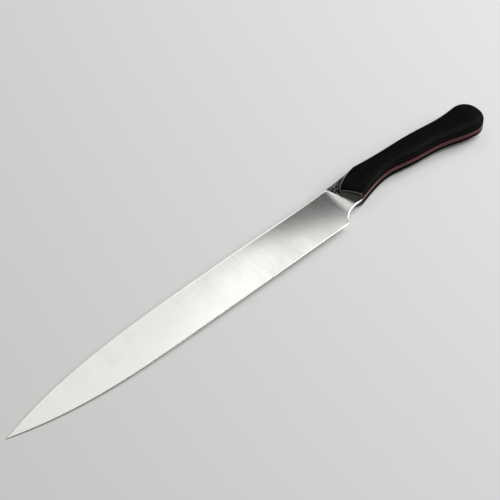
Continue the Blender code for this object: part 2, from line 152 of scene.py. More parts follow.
@dataclass(frozen=True)
class Outline:
    """The knife's outline and the swell of its handle.

    Towards the point, and along the back before the bolster, it follows the picture. The rest is as packed.
    """

    edge_length: float = 0.300
    heel_height: float = 0.0348
    crest_height: float = 0.0354
    crest_ahead: float = 0.085
    point_height: float = 0.0168
    point_blunt: float = 0.0004
    straight_edge: float = 0.140
    edge_sweep_power: float = 3.05
    back_drop_power: float = 3.65
    choil_length: float = 0.0182
    choil_power: float = 0.68
    choil_rise: float = 0.0099
    neck: float = 0.0220
    handle_length: float = 0.128
    butt_round: float = 0.0145
    last_turn: float = 0.47 * math.pi
    back_shares: tuple[float, ...] = (0.109, 0.219, 0.328, 0.453, 0.570, 0.672, 0.773, 0.891, 1.000)
    back_heights: tuple[float, ...] = (
        0.0346, 0.0334, 0.0326, 0.0320, 0.0309, 0.0293, 0.0282, 0.0285, 0.0292,
    )
    belly_shares: tuple[float, ...] = (
        0.000, 0.120, 0.220, 0.300, 0.400, 0.500, 0.600, 0.710, 0.800, 0.891, 1.000,
    )
    belly_heights: tuple[float, ...] = (
        0.0099, 0.0141, 0.0163, 0.0163, 0.0139, 0.0119, 0.0105, 0.0074, 0.0038, 0.0013, 0.0006,
    )
    thickness_shares: tuple[float, ...] = (0.00, 0.15, 0.40, 0.60, 0.78, 0.90, 1.00)
    half_thicknesses: tuple[float, ...] = (0.0064, 0.0073, 0.0084, 0.0080, 0.0076, 0.0081, 0.0081)
    wall_shares: tuple[float, ...] = (0.00, 0.10, 0.30, 0.55, 1.00)
    wall_heights: tuple[float, ...] = (0.0057, 0.0060, 0.0045, 0.0037, 0.0036)
    wall_at_butt: float = 0.0032
    round_power: float = 4.0

    @property
    def butt(self) -> float:
        """Place of the butt behind the heel."""
        return self.neck + self.handle_length

    def along(self, shares: tuple[float, ...]) -> tuple[float, ...]:
        """Places behind the heel of shares of the handle's length."""
        return tuple(self.neck + share * self.handle_length for share in shares)

    @property
    def back_curve(self) -> Curve:
        """The back from its crest on the blade to the butt."""
        places = (-self.crest_ahead, 0.0, *self.along(self.back_shares))
        return Curve(places, (self.crest_height, self.heel_height, *self.back_heights), level_start=True)

    @property
    def belly_curve(self) -> Curve:
        """The belly of the handle."""
        return Curve(self.along(self.belly_shares), self.belly_heights)

    def closing(self, x: np.ndarray) -> np.ndarray:
        """1 along the handle, falling to 0 over the butt as the height of an ellipse does."""
        run = np.clip((x - self.butt + self.butt_round) / self.butt_round, 0, 1)
        return np.sqrt(np.clip(1 - run**2, 0, 1))

    def back(self, x: np.ndarray) -> np.ndarray:
        """Height of the back: a power curve ahead of the crest, the spline behind it, closed round the butt.

        Args:
            x: places behind the heel.

        Returns:
            Y of the back at each place.
        """
        x = np.asarray(x, float)
        ahead = np.clip((-x - self.crest_ahead) / (self.edge_length - self.crest_ahead), 0, 1)
        blade = self.crest_height - (self.crest_height - self.point_height) * ahead**self.back_drop_power
        upper = self.back_curve(x)
        middle = (upper + self.belly_curve(x)) / 2
        return np.where(x < -self.crest_ahead, blade, middle + (upper - middle) * self.closing(x))

    def belly(self, x: np.ndarray) -> np.ndarray:
        """Height of the lower outline: a power curve for the edge, a rounded choil, then the spline.

        Args:
            x: places behind the heel.

        Returns:
            Y of the lower outline at each place.
        """
        x = np.asarray(x, float)
        ahead = np.clip((-x - self.straight_edge) / (self.edge_length - self.straight_edge), 0, 1)
        edge = self.point_height * ahead**self.edge_sweep_power
        choil = self.choil_rise * (1 - (1 - np.clip(x / self.choil_length, 0, 1)) ** 2) ** self.choil_power
        lower = self.belly_curve(x)
        middle = (self.back_curve(x) + lower) / 2
        handle = middle + (lower - middle) * self.closing(x)
        return np.where(x < 0, edge, np.where(x < self.neck, choil, handle))

    def height_at(self, x: np.ndarray, share: np.ndarray) -> np.ndarray:
        """The height a share of the way from the belly to the back."""
        low = self.belly(x)
        return low + (self.back(x) - low) * share

    def half_thickness(self, x: np.ndarray) -> np.ndarray:
        """Half the handle's thickness at the top of its crown."""
        return Curve(self.along(self.thickness_shares), self.half_thicknesses)(x)

    def side(self, x: np.ndarray, share: np.ndarray) -> np.ndarray:
        """Height of the handle's side above the middle of the tang: a wall, and on it a crown.

        Args:
            x: places behind the heel.
            share: how far from the belly to the back.

        Returns:
            The wall's height plus the crown's, which falls as the root of one less the distance from the
            middle line to a power, and closes round the butt.
        """
        crown = np.sqrt(np.clip(1 - np.abs(2 * share - 1) ** self.round_power, 0, 1))
        wall_line = Curve(self.along(self.wall_shares), self.wall_heights)(x)
        swell = self.half_thickness(x) - wall_line
        wall = self.wall_at_butt + (wall_line - self.wall_at_butt) * self.closing(x)
        return wall + swell * self.closing(x) * crown

    def butt_places(self, count: int) -> np.ndarray:
        """Places round the butt, closer towards its end."""
        turns = np.linspace(0, self.last_turn, count)[1:]
        return self.butt - self.butt_round + self.butt_round * np.sin(turns)


# ---------------------------------------------------------------- meshes


@dataclass(frozen=True)
class Rest:
    """How the knife lies: a tip about Y and a place, read from two dowels whose places on the tang are known."""

    tip: float
    place: np.ndarray

    @staticmethod
    def from_dowels(front: tuple[float, float], rear: tuple[float, float]) -> "Rest":
        """Reads the tip from the slope between the two dowels' middles, and the place from the front one.

        Args:
            front: place of the front dowel on the tang.
            rear: place of the rear dowel.

        Returns:
            The knife's rest.
        """
        middles = []
        for node in ("scale_dowel_front", "scale_dowel_rear"):
            low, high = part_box(node)
            middles.append(np.array((low + high) / 2))
        run = middles[1] - middles[0]
        tip = math.atan2(-run[2], run[0])
        x, y = front
        place = middles[0] - np.array((x * math.cos(tip), y, -x * math.sin(tip)))
        return Rest(tip, place)

    def lay(self, points: np.ndarray) -> np.ndarray:
        """Turns points about Y by the tip and moves them to the knife's place.

        Args:
            points: points in the knife's frame, along the last axis.

        Returns:
            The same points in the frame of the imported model.
        """
        c, s = math.cos(self.tip), math.sin(self.tip)
        return points @ np.array([[c, 0, -s], [0, 1, 0], [s, 0, c]]) + self.place


@dataclass
class Shape:
    """Points with faces of four corners, larger flat faces, and masks that the materials read."""

    points: np.ndarray
    quads: np.ndarray
    flats: list[np.ndarray] = field(default_factory=list)
    masks: dict[str, np.ndarray] = field(default_factory=dict)

    def volume(self) -> float:
        """Adds up the corner products of every triangle.

        Returns:
            Six times the signed volume.
        """
        p, q = self.points, self.quads
        fans = [np.stack([np.full(len(f) - 2, f[0]), f[1:-1], f[2:]], 1) for f in self.flats]
        tris = np.concatenate([q[:, [0, 1, 2]], q[:, [0, 2, 3]], *fans])
        return float(np.einsum("ij,ij->i", p[tris[:, 0]], np.cross(p[tris[:, 1]], p[tris[:, 2]])).sum())

    def outward(self) -> "Shape":
        """Turns the faces outwards where they point inwards.

        Returns:
            The shape itself.
        """
        if self.volume() < 0:
            self.quads = self.quads[:, ::-1]
            self.flats = [flat[::-1] for flat in self.flats]
        return self

    def piece(self, name: str, slot: Slot, finish: bpy.types.Material, sharp: float = 38.0) -> bpy.types.Object:
        """Makes the object, which rides on the knife's one body.

        Args:
            name: the object's name.
            slot: the record's slot; not used.
            finish: its material.
            sharp: edges over this many degrees stay sharp.

        Returns:
            The new object, at the origin, with its place in its mesh.
        """
        self.outward()
        mesh = bpy.data.meshes.new(name)
        corners = np.concatenate([self.quads.ravel(), *self.flats]).astype(np.int32)
        sizes = np.array([4] * len(self.quads) + [len(flat) for flat in self.flats], np.int32)
        mesh.vertices.add(len(self.points))
        mesh.loops.add(len(corners))
        mesh.polygons.add(len(sizes))
        mesh.vertices.foreach_set("co", self.points.astype(np.float32).ravel())
        mesh.loops.foreach_set("vertex_index", corners)
        mesh.polygons.foreach_set("loop_start", np.concatenate([[0], np.cumsum(sizes)[:-1]]).astype(np.int32))
        mesh.update(calc_edges=True)
        mesh.validate()
        mesh.shade_smooth()
        mesh.set_sharp_from_angle(angle=math.radians(sharp))
        for mask, values in self.masks.items():
            layer = mesh.attributes.new(mask, "FLOAT", "POINT")
            layer.data.foreach_set("value", values.astype(np.float32).ravel())
        mesh.materials.append(finish)
        made = bpy.data.objects.new(name, mesh)
        bpy.context.scene.collection.objects.link(made)
        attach(made, "root")
        return made


def grid_quads(rows: int, columns: int, closed: bool = False) -> np.ndarray:
    """Corners of the quads of a grid whose point in row i and column k is number i times columns plus k.

    Args:
        rows: number of rows.
        columns: number of points in a row.
        closed: whether the last column joins the first.

    Returns:
        One row of four corners for each quad.
    """
    i = np.arange(rows - 1)[:, None] * columns
    k = np.arange(columns if closed else columns - 1)[None, :]
    after = (k + 1) % columns
    return np.stack([i + k, i + after, i + columns + after, i + columns + k], -1).reshape(-1, 4)


def tube(rings: np.ndarray) -> Shape:
    """A solid skinned over closed rings, with a flat face on each end ring.

    Args:
        rings: points of each ring, as rings by points by 3.

    Returns:
        The closed shape.
    """
    count, around = rings.shape[:2]
    ends = [np.arange(around), np.arange((count - 1) * around, count * around)]
    return Shape(rings.reshape(-1, 3), grid_quads(count, around, closed=True), ends)


def slab(top: np.ndarray, base: float) -> Shape:
    """A solid under a sculpted top, with upright sides down to a flat base.

    Args:
        top: points of the top, as rows by columns by 3.
        base: height of the base.

    Returns:
        The closed shape, whose first points are the top's.
    """
    rows, columns = top.shape[:2]
    number = np.arange(rows * columns).reshape(rows, columns)
    border = np.concatenate([number[0, :-1], number[:-1, -1], number[-1, :0:-1], number[:0:-1, 0]])
    floor = top.reshape(-1, 3)[border].copy()
    floor[:, 2] = base
    below = rows * columns + np.arange(len(border))
    sides = np.stack([border, below, np.roll(below, -1), np.roll(border, -1)], 1)
    points = np.concatenate([top.reshape(-1, 3), floor])
    return Shape(points, np.concatenate([grid_quads(rows, columns), sides]), [below])


def arc(turns: np.ndarray, centre: tuple, reach: tuple) -> np.ndarray:
    """An elliptical corner in each section: centre plus reach times the cosine and sine of the turn.

    Args:
        turns: angles along the corner.
        centre: Y and Z of the centre, one value for each section.
        reach: half axes along Y and Z, one value for each section.

    Returns:
        Y and Z as sections by turns by 2.
    """
    y = centre[0][:, None] + reach[0][:, None] * np.cos(turns)
    z = centre[1][:, None] + reach[1][:, None] * np.sin(turns)
    return np.stack([y, z], -1)


def between(start: tuple, end: tuple, shares: np.ndarray) -> np.ndarray:
    """Straight lines in each section, from a start to an end.

    Args:
        start: Y and Z of the starts, one value for each section.
        end: Y and Z of the ends.
        shares: how far along each line the points lie.

    Returns:
        Y and Z as sections by shares by 2.
    """
    return np.stack([a[:, None] + (b - a)[:, None] * shares for a, b in zip(start, end)], -1)


# ---------------------------------------------------------------- shader effects


class Graph:
    """Builds one node tree, a material's or a group's."""

    def __init__(self, tree: bpy.types.NodeTree) -> None:
        """Keeps the tree."""
        self.tree = tree

    def feed(self, into: bpy.types.NodeSocket, value: object) -> None:
        """Links an output socket to an input, or sets the input to a value.

        Args:
            into: the input socket.
            value: the output socket or the value.
        """
        if isinstance(value, bpy.types.NodeSocket):
            self.tree.links.new(value, into)
        else:
            into.default_value = value

    def add(self, kind: str, inputs: dict | None = None, **settings: object) -> bpy.types.Node:
        """Adds a node.

        Args:
            kind: the node's type name.
            inputs: a value or an output socket for some of its inputs, by name or number.
            settings: its other properties.

        Returns:
            The node.
        """
        node = self.tree.nodes.new(kind)
        for name, value in settings.items():
            setattr(node, name, value)
        for name, value in (inputs or {}).items():
            self.feed(node.inputs[name], value)
        return node

    def mask(self, name: str) -> bpy.types.NodeSocket:
        """One of the masks that the meshes carry."""
        return self.add("ShaderNodeAttribute", attribute_name=name).outputs["Fac"]

    def maths(self, operation: str, a: object, b: object = 0.0, c: object = 0.0) -> bpy.types.NodeSocket:
        """The output of a Math node on sockets or numbers."""
        return self.add("ShaderNodeMath", {0: a, 1: b, 2: c}, operation=operation).outputs[0]

    def total(self, start: object, *parts: tuple[bpy.types.NodeSocket, float]) -> bpy.types.NodeSocket:
        """Adds to a start the product of each socket and its number.

        Args:
            start: the first value.
            parts: pairs of a socket and a number.

        Returns:
            The sum's socket.
        """
        for socket, share in parts:
            start = self.maths("MULTIPLY_ADD", socket, share, start)
        return start

    def fit(self, value: object, low: float, high: float, start: float, end: float) -> bpy.types.NodeSocket:
        """Carries a value smoothly from one range to another.

        Args:
            value: the socket.
            low: where the first range starts.
            high: where it ends.
            start: the result at low.
            end: the result at high.

        Returns:
            The output socket.
        """
        sizes = {"Value": value, "From Min": low, "From Max": high, "To Min": start, "To Max": end}
        return self.add("ShaderNodeMapRange", sizes, interpolation_type="SMOOTHSTEP").outputs[0]

    def mix(self, share: object, a: object, b: object) -> bpy.types.NodeSocket:
        """A colour between two others.

        Args:
            share: 0 gives the first colour and 1 the second.
            a: first colour or socket.
            b: second colour or socket.

        Returns:
            The colour's socket.
        """
        node = self.add("ShaderNodeMix", {"Factor": share}, data_type="RGBA")
        for name, value in (("A", a), ("B", b)):
            into = next(s for s in node.inputs if s.name == name and s.type == "RGBA")
            self.feed(into, value if isinstance(value, bpy.types.NodeSocket) else (*value, 1.0))
        return next(s for s in node.outputs if s.type == "RGBA")

    def noise(
        self,
        vector: bpy.types.NodeSocket,
        scale: object = 1.0,
        detail: float = 2.0,
        roughness: float = 0.5,
        distortion: float = 0.0,
    ) -> bpy.types.NodeOutputs:
        """Adds a noise.

        Args:
            vector: the coordinates it follows.
            scale: how fine it is.
            detail: how many finer noises lie on it.
            roughness: how strong these are.
            distortion: how far it is stirred.

        Returns:
            The node's outputs, of which the first is the value.
        """
        sizes = {"Vector": vector, "Scale": scale, "Detail": detail, "Roughness": roughness, "Distortion": distortion}
        return self.add("ShaderNodeTexNoise", sizes).outputs

    def coat(
        self,
        shader: bpy.types.Node,
        colour: bpy.types.NodeSocket,
        rough: bpy.types.NodeSocket,
        height: bpy.types.NodeSocket,
        strength: float,
        distance: float,
    ) -> None:
        """Links a colour, a roughness and a bump to a shader.

        Args:
            shader: the Principled shader.
            colour: the colour.
            rough: the roughness.
            height: the height of the bump.
            strength: the bump's strength.
            distance: how far the height reaches, in metres.
        """
        bump = self.add("ShaderNodeBump", {"Height": height, "Strength": strength, "Distance": distance})
        for name, value in (("Base Color", colour), ("Roughness", rough), ("Normal", bump.outputs[0])):
            self.feed(shader.inputs[name], value)


class Effect:
    """A shader node group with named inputs and outputs, built once and shared by the materials."""

    def __init__(self, name: str, inputs: dict[str, float], outputs: tuple[str, ...]) -> None:
        """Makes the group and its sockets.

        Args:
            name: the group's name.
            inputs: its number inputs with their defaults; every group also takes a Vector.
            outputs: its output values.
        """
        self.group = bpy.data.node_groups.new(name, "ShaderNodeTree")
        sockets = self.group.interface
        sockets.new_socket("Vector", in_out="INPUT", socket_type="NodeSocketVector")
        for label, value in inputs.items():
            made = sockets.new_socket(label, in_out="INPUT", socket_type="NodeSocketFloat")
            made.default_value = value
        for label in outputs:
            sockets.new_socket(label, in_out="OUTPUT", socket_type="NodeSocketFloat")
        self.graph = Graph(self.group)
        self.given = self.graph.add("NodeGroupInput").outputs
        self.wanted = self.graph.add("NodeGroupOutput").inputs

    def give(self, label: str, value: bpy.types.NodeSocket) -> None:
        """Links a value to one of the group's outputs."""
        self.graph.feed(self.wanted[label], value)

    def stretched(self, x: float, y: float, z: float) -> bpy.types.NodeSocket:
        """The group's Vector, each axis times a number."""
        return self.graph.add("ShaderNodeMapping", {"Vector": self.given["Vector"], "Scale": (x, y, z)}).outputs[0]

    def place(self, graph: Graph, vector: bpy.types.NodeSocket, **values: object) -> bpy.types.NodeOutputs:
        """Puts the group into a material.

        Args:
            graph: the material's tree.
            vector: the coordinates that the pattern follows.
            values: numbers or sockets for the group's inputs.

        Returns:
            The group node's outputs.
        """
        return graph.add("ShaderNodeGroup", {"Vector": vector, **values}, node_tree=self.group).outputs


class Workshop:
    """The shared effects: hairlines, smudges, scratches, laminate grain and fibre speckle."""

    def __init__(self) -> None:
        """Builds each group once."""
        self.hairlines = self.build_hairlines()
        self.smudges = self.build_smudges()
        self.scratches = self.build_scratches()
        self.veneer = self.build_veneer()
        self.speckle = self.build_speckle()

    @staticmethod
    def build_hairlines() -> Effect:
        """Fine parallel grinding lines: two noises drawn out along Y, and a slow drift of their gloss.

        Returns:
            The group.
        """
        effect = Effect("hairlines", {"Fineness": 1.0}, ("Lines", "Drift"))
        g, fineness = effect.graph, effect.given["Fineness"]
        fine = g.noise(effect.stretched(9000, 60, 60), fineness, detail=3.0, roughness=0.6)
        coarse = g.noise(effect.stretched(1500, 25, 25), fineness)
        effect.give("Lines", g.maths("MULTIPLY_ADD", fine[0], 0.65, g.maths("MULTIPLY", coarse[0], 0.35)))
        effect.give("Drift", g.noise(effect.stretched(60, 18, 18))[0])
        return effect

    @staticmethod
    def build_smudges() -> Effect:
        """Faint handling marks: one broad noise, gated by a broader one.

        Returns:
            The group.
        """
        effect = Effect("smudges", {"Scale": 40.0}, ("Mask",))
        g, where = effect.graph, effect.given["Vector"]
        cloud = g.noise(where, effect.given["Scale"], detail=4.0, roughness=0.55, distortion=0.4)
        gate = g.noise(where, 9.0, detail=1.0)
        marks = g.fit(cloud[0], 0.42, 0.7, 0, 1)
        effect.give("Mask", g.maths("MULTIPLY", marks, g.fit(gate[0], 0.4, 0.6, 0.2, 1)))
        return effect

    @staticmethod
    def build_scratches() -> Effect:
        """Sparse thin scratches: two drawn-out noises, cut where each passes its middle value.

        Returns:
            The group.
        """
        effect = Effect("scratches", {"Density": 1.0}, ("Mask",))
        g = effect.graph
        found = []
        for turn, stretch in ((0.35, (900.0, 35.0, 35.0)), (-0.9, (700.0, 28.0, 28.0))):
            turned = g.add("ShaderNodeMapping", {"Vector": effect.given["Vector"], "Rotation": (0, 0, turn)}).outputs[0]
            drawn = g.add("ShaderNodeMapping", {"Vector": turned, "Scale": stretch}).outputs[0]
            off = g.maths("ABSOLUTE", g.maths("SUBTRACT", g.noise(drawn, detail=0.0)[0], 0.5))
            patch = g.fit(g.noise(turned, 45.0, detail=1.0)[0], 0.60, 0.72, 0, 1)
            found.append(g.maths("MULTIPLY", g.fit(off, 0.002, 0.007, 1, 0), patch))
        effect.give("Mask", g.maths("MULTIPLY", g.maths("MAXIMUM", *found), effect.given["Density"]))
        return effect

    @staticmethod
    def build_veneer() -> Effect:
        """Dense laminate: veneer lines and pores, both drawn out along X, and the lines bent a little.

        Returns:
            The group.
        """
        effect = Effect("veneer", {"Layers": 1.0}, ("Lines", "Pores"))
        g = effect.graph
        bend = g.noise(effect.stretched(14, 30, 30))["Color"]
        pushed = g.add("ShaderNodeVectorMath", {0: bend, 1: (3.0, 3.0, 3.0)}, operation="MULTIPLY").outputs[0]
        drawn = effect.stretched(28, 620, 620)
        path = g.add("ShaderNodeVectorMath", {0: drawn, 1: pushed}, operation="ADD").outputs[0]
        lines = g.noise(path, effect.given["Layers"], detail=3.0, roughness=0.6)
        pores = g.noise(effect.stretched(260, 3200, 3200), detail=1.0)
        effect.give("Lines", g.fit(lines[0], 0.3, 0.7, 0, 1))
        effect.give("Pores", g.fit(pores[0], 0.62, 0.74, 0, 1))
        return effect

    @staticmethod
    def build_speckle() -> Effect:
        """Pressed fibre: short flecks from a fine noise, and clouding from a coarse one.

        Returns:
            The group.
        """
        effect = Effect("speckle", {"Fineness": 1.0}, ("Flecks", "Clouding"))
        g = effect.graph
        fine = g.noise(effect.stretched(2600, 5200, 5200), effect.given["Fineness"])
        effect.give("Flecks", g.fit(fine[0], 0.4, 0.66, 0, 1))
        effect.give("Clouding", g.noise(effect.stretched(160, 300, 300))[0])
        return effect


# ---------------------------------------------------------------- finishes


def blank_material(name: str) -> tuple[bpy.types.Material, Graph, bpy.types.Node, bpy.types.NodeSocket]:
    """A material with its shader and its Object coordinates.

    Args:
        name: the material's name.

    Returns:
        The material, its graph, its Principled shader and the coordinates' socket.
    """
    made = bpy.data.materials.new(name)
    made.use_nodes = True
    graph = Graph(made.node_tree)
    shader = made.node_tree.nodes["Principled BSDF"]
    where = graph.add("ShaderNodeTexCoord").outputs["Object"]
    return made, graph, shader, where


def scaled(colour: Colour, factor: float) -> Colour:
    """A colour times a number, held at 1."""
    return tuple(min(1.0, factor * value) for value in colour)


@dataclass(frozen=True)
class SteelFinish:
    """Ground or polished steel, with hairlines, handling marks, brighter worn edges, and painted shade: a darkening of
    the colour by a mask that the mesh carries.
    """

    name: str
    colour: Colour
    shade: Colour
    roughness: float
    fineness: float = 1.0
    turn: float = 0.0
    smudge_scale: float = 55.0
    line_contrast: float = 0.3
    smudge_contrast: float = 0.25
    brightened: float = 0.8
    rubbed_brightness: float = 1.4
    sunk_darkness: float = 0.98
    sunk_brightness: float = 0.03
    line_roughness: float = 0.16
    smudge_roughness: float = 0.04
    drift_roughness: float = 0.08
    polish: float = 0.06
    scratch_roughness: float = 0.08
    least_roughness: float = 0.08
    line_depth: float = 0.1
    scratch_depth: float = 0.6
    bump_reach: float = 0.00002

    def make(self, shop: Workshop) -> bpy.types.Material:
        """Builds the material.

        Args:
            shop: the shared effects.

        Returns:
            The material.
        """
        made, g, shader, where = blank_material(self.name)
        shader.inputs["Metallic"].default_value = 1.0
        turned = g.add("ShaderNodeMapping", {"Vector": where, "Rotation": (0, 0, self.turn)}).outputs[0]
        lines = shop.hairlines.place(g, turned, Fineness=self.fineness)
        smudge = shop.smudges.place(g, where, Scale=self.smudge_scale)["Mask"]
        scratch = shop.scratches.place(g, where)["Mask"]
        worn, sunk = g.mask("worn"), g.mask("sunk")
        tone = g.total(g.fit(lines["Lines"], 0.3, 0.7, 0, self.line_contrast), (smudge, self.smudge_contrast))
        ground = g.mix(tone, self.colour, self.shade)
        ground = g.mix(g.maths("MULTIPLY", worn, self.brightened), ground, scaled(self.colour, self.rubbed_brightness))
        # painted shade: the colour goes towards a near-black steel as far as the mesh's mask asks
        painted_shade_colour = scaled(self.shade, self.sunk_brightness)
        rough = g.total(
            self.roughness - self.line_roughness / 2,
            (lines["Lines"], self.line_roughness),
            (smudge, self.smudge_roughness),
            (g.maths("SUBTRACT", lines["Drift"], 0.5), self.drift_roughness),
            (worn, -self.polish),
            (scratch, self.scratch_roughness),
        )
        g.coat(
            shader,
            colour=g.mix(g.maths("MULTIPLY", sunk, self.sunk_darkness), ground, painted_shade_colour),
            rough=g.maths("MAXIMUM", rough, self.least_roughness),
            height=g.total(lines["Lines"], (scratch, -self.scratch_depth)),
            strength=self.line_depth,
            distance=self.bump_reach,
        )
        return made


@dataclass(frozen=True)
class LaminateFinish:
    """Black resin-bonded laminate with faint veneer lines, hand-rubbed to a satin, with painted shade on its sanded
    walls.
    """

    name: str
    colour: Colour
    line_colour: Colour
    roughness: float
    specular: float = 0.035
    smudge_scale: float = 70.0
    worn_brightness: float = 2.2
    worn_paleness: float = 0.6
    sanded_darkness: float = 0.7
    line_roughness: float = 0.08
    smudge_polish: float = 0.06
    pore_roughness: float = 0.12
    polish: float = 0.05
    sanded_roughness: float = 0.25
    grain_depth: float = 0.25
    pore_depth: float = 0.5
    line_height: float = 0.35
    bump_reach: float = 0.00004

    def make(self, shop: Workshop) -> bpy.types.Material:
        """Builds the material.

        Args:
            shop: the shared effects.

        Returns:
            The material.
        """
        made, g, shader, where = blank_material(self.name)
        shader.inputs["Specular IOR Level"].default_value = self.specular
        grain = shop.veneer.place(g, where)
        smudge = shop.smudges.place(g, where, Scale=self.smudge_scale)["Mask"]
        worn, sanded = g.mask("worn"), g.mask("sanded")
        base = g.mix(grain["Lines"], self.colour, self.line_colour)
        paler = scaled(self.line_colour, self.worn_brightness)
        base = g.mix(g.maths("MULTIPLY", worn, self.worn_paleness), base, paler)
        rough = g.total(
            self.roughness,
            (grain["Lines"], self.line_roughness),
            (smudge, -self.smudge_polish),
            (grain["Pores"], self.pore_roughness),
            (worn, -self.polish),
            (sanded, self.sanded_roughness),
        )
        # painted shade: the sanded walls are darkened towards black, besides being rougher
        g.coat(
            shader,
            colour=g.mix(g.maths("MULTIPLY", sanded, self.sanded_darkness), base, (0.0, 0.0, 0.0)),
            rough=rough,
            height=g.total(g.maths("MULTIPLY", grain["Lines"], self.line_height), (grain["Pores"], -self.pore_depth)),
            strength=self.grain_depth,
            distance=self.bump_reach,
        )
        return made


@dataclass(frozen=True)
class FibreFinish:
    """Vulcanised fibre, sanded flush, with flecks of its pressed fibres."""

    name: str
    colour: Colour
    fleck: Colour
    roughness: float
    fleck_share: float = 0.6
    clouding: float = 0.2
    fleck_depth: float = 0.2
    bump_reach: float = 0.00002

    def make(self, shop: Workshop) -> bpy.types.Material:
        """Builds the material.

        Args:
            shop: the shared effects.

        Returns:
            The material.
        """
        made, g, shader, where = blank_material(self.name)
        speckle = shop.speckle.place(g, where)
        g.coat(
            shader,
            colour=g.mix(g.maths("MULTIPLY", speckle["Flecks"], self.fleck_share), self.colour, self.fleck),
            rough=g.total(self.roughness - self.clouding / 2, (speckle["Clouding"], self.clouding)),
            height=speckle["Flecks"],
            strength=self.fleck_depth,
            distance=self.bump_reach,
        )
        return made


# ---------------------------------------------------------------- the knife's pieces


